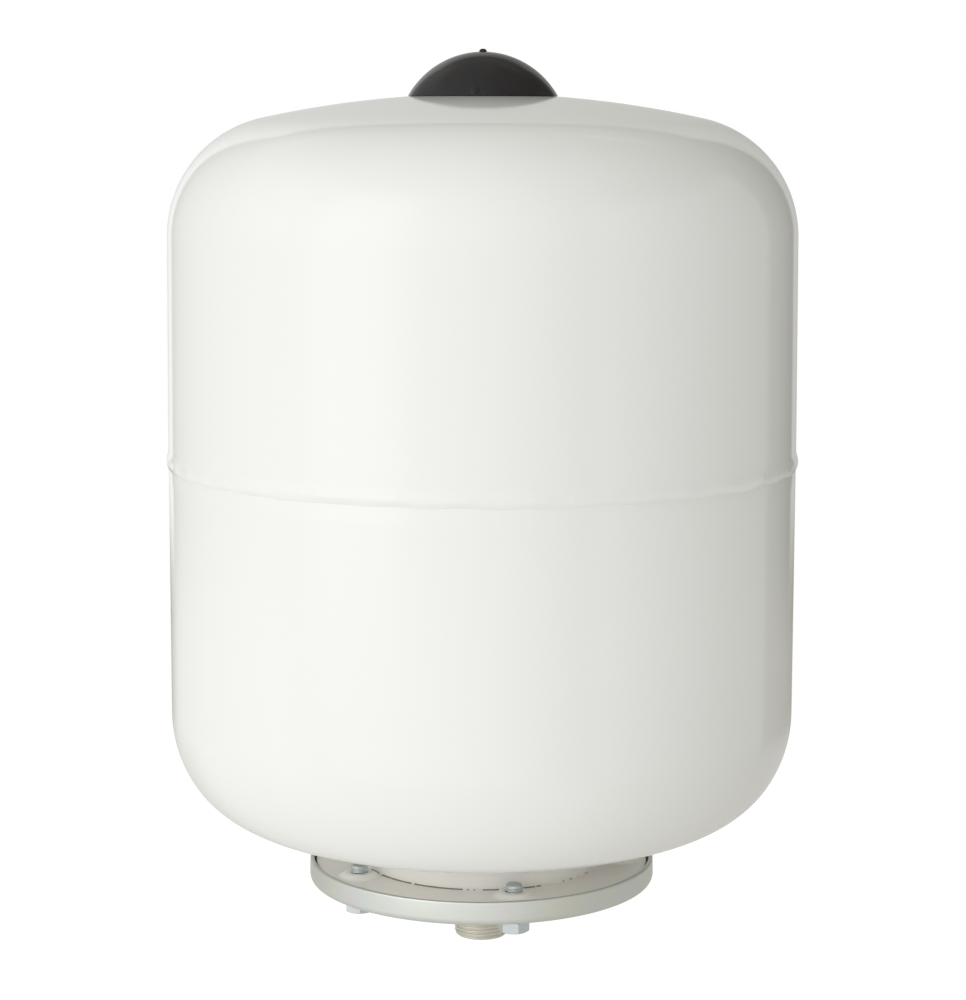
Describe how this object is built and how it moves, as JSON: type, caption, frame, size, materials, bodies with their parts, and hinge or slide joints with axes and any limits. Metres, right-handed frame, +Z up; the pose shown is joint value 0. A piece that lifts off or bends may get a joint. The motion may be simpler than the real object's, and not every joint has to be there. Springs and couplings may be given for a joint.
{
  "type": "expansion vessel",
  "caption": "Two-shell steel expansion vessel with a bolted bottom flange, replaceable bladder, threaded water nipple and a top air valve under a domed cover.",
  "frame": {"origin": "centre of the water nipple's free end face, which is also the middle of the vessel's lowest level", "axes": "+Z up along the vessel's axis, from the water nipple to the valve cover; -Y is the front"},
  "size_m": [0.302, 0.302, 0.4309],
  "materials": {
    "white_paint": "gloss off-white epoxy paint on pressed steel",
    "cream_paint": "satin cream paint on plate steel, broken at the neck's crevice",
    "zinc_plate": "bright zinc plate with a faint blue and yellow passivation tint",
    "nipple_steel": "turned and nickel plated steel, satin",
    "weld_steel": "zinc plated fillet weld, rippled",
    "spring_steel": "bright drawn wire",
    "brass": "turned brass",
    "black_rubber": "matt moulded butyl rubber",
    "black_plastic": "gloss black moulded plastic"
  },
  "bodies": {
    "vessel": {"upper_shell": "white_paint", "lower_shell": "white_paint", "girth_weld": "white_paint", "ring_flange": "cream_paint", "counterflange": "zinc_plate", "water_nipple": "nipple_steel", "nipple_weld": "weld_steel", "bladder": "black_rubber", "flange_bolt_1": "zinc_plate", "flange_bolt_2": "zinc_plate", "flange_bolt_3": "zinc_plate", "flange_bolt_4": "zinc_plate", "flange_bolt_5": "zinc_plate", "flange_washer_1": "zinc_plate", "flange_washer_2": "zinc_plate", "flange_washer_3": "zinc_plate", "flange_washer_4": "zinc_plate", "flange_washer_5": "zinc_plate", "valve_bush": "white_paint", "bush_weld": "white_paint", "valve_body": "brass", "valve_gasket": "black_rubber", "valve_core": "brass", "valve_spring": "spring_steel"},
    "pin": {"valve_pin": "brass", "valve_pin_seal": "black_rubber"},
    "cover": {"valve_cover": "black_plastic"}
  },
  "joints": [
    {"name": "pin_press", "type": "slide", "parent": "vessel", "child": "pin", "axis": [0, 0, -1], "range_m": [0, 0.0015], "stiffness_N_per_m": 1500, "springref_m": -0.001, "deforming": ["valve_spring"]},
    {"name": "cover_pull", "type": "slide", "parent": "vessel", "child": "cover", "axis": [0, 0, 1], "range_m": [0, 0.045]}
  ]
}
